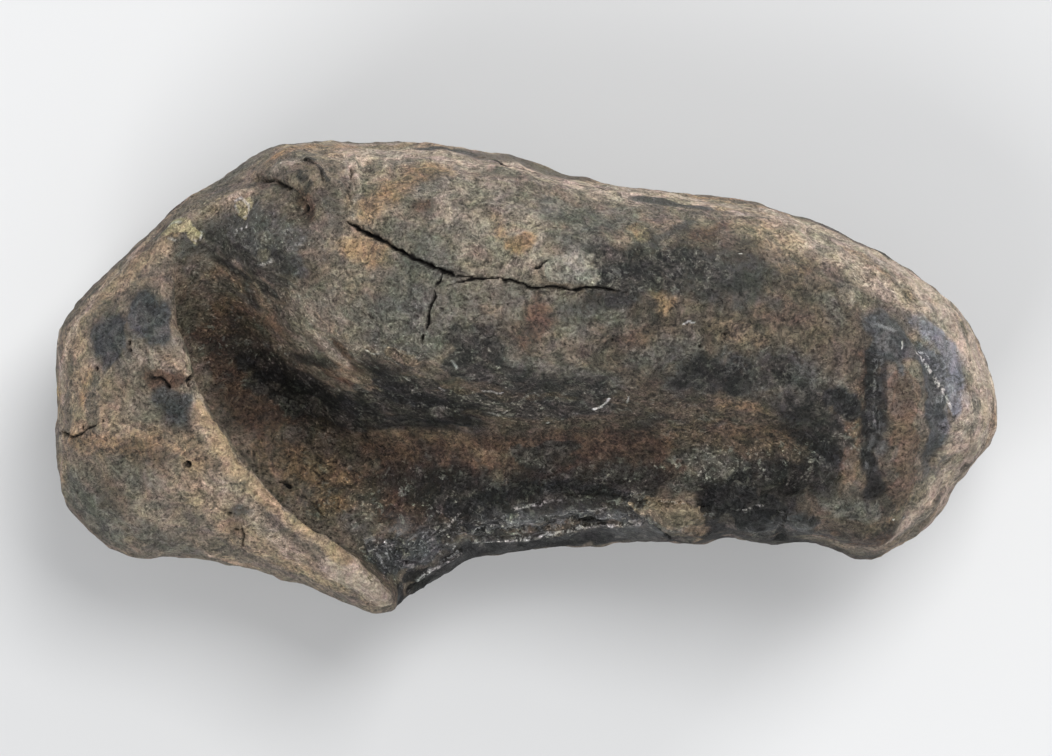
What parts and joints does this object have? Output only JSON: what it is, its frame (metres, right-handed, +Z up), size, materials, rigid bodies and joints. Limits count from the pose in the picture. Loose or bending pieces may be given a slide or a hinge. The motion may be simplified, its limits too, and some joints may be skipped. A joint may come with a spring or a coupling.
{
  "type": "fossil whale ear bone",
  "caption": "Stained fossil ear bone of a baleen whale: a heavy rounded inner side, a trough-shaped hollow hooded by a curled lip, and a broken lower edge; it lies hollow side up.",
  "frame": {"origin": "on the surface that the bone rests on, under the middle of its length and width", "axes": "+X along the bone's length, from the hooded lip end to the round end; +Y from the broken edge to the thick inner side; +Z up, out of the hollow"},
  "size_m": [0.094, 0.0468, 0.042],
  "materials": {
    "fossil_bone": "mineralised bone stained tan, brown and blue-black, dull on the pale areas and half glossy on the dark ones"
  },
  "bodies": {
    "root": {"ear_bone": "fossil_bone"}
  },
  "joints": []
}
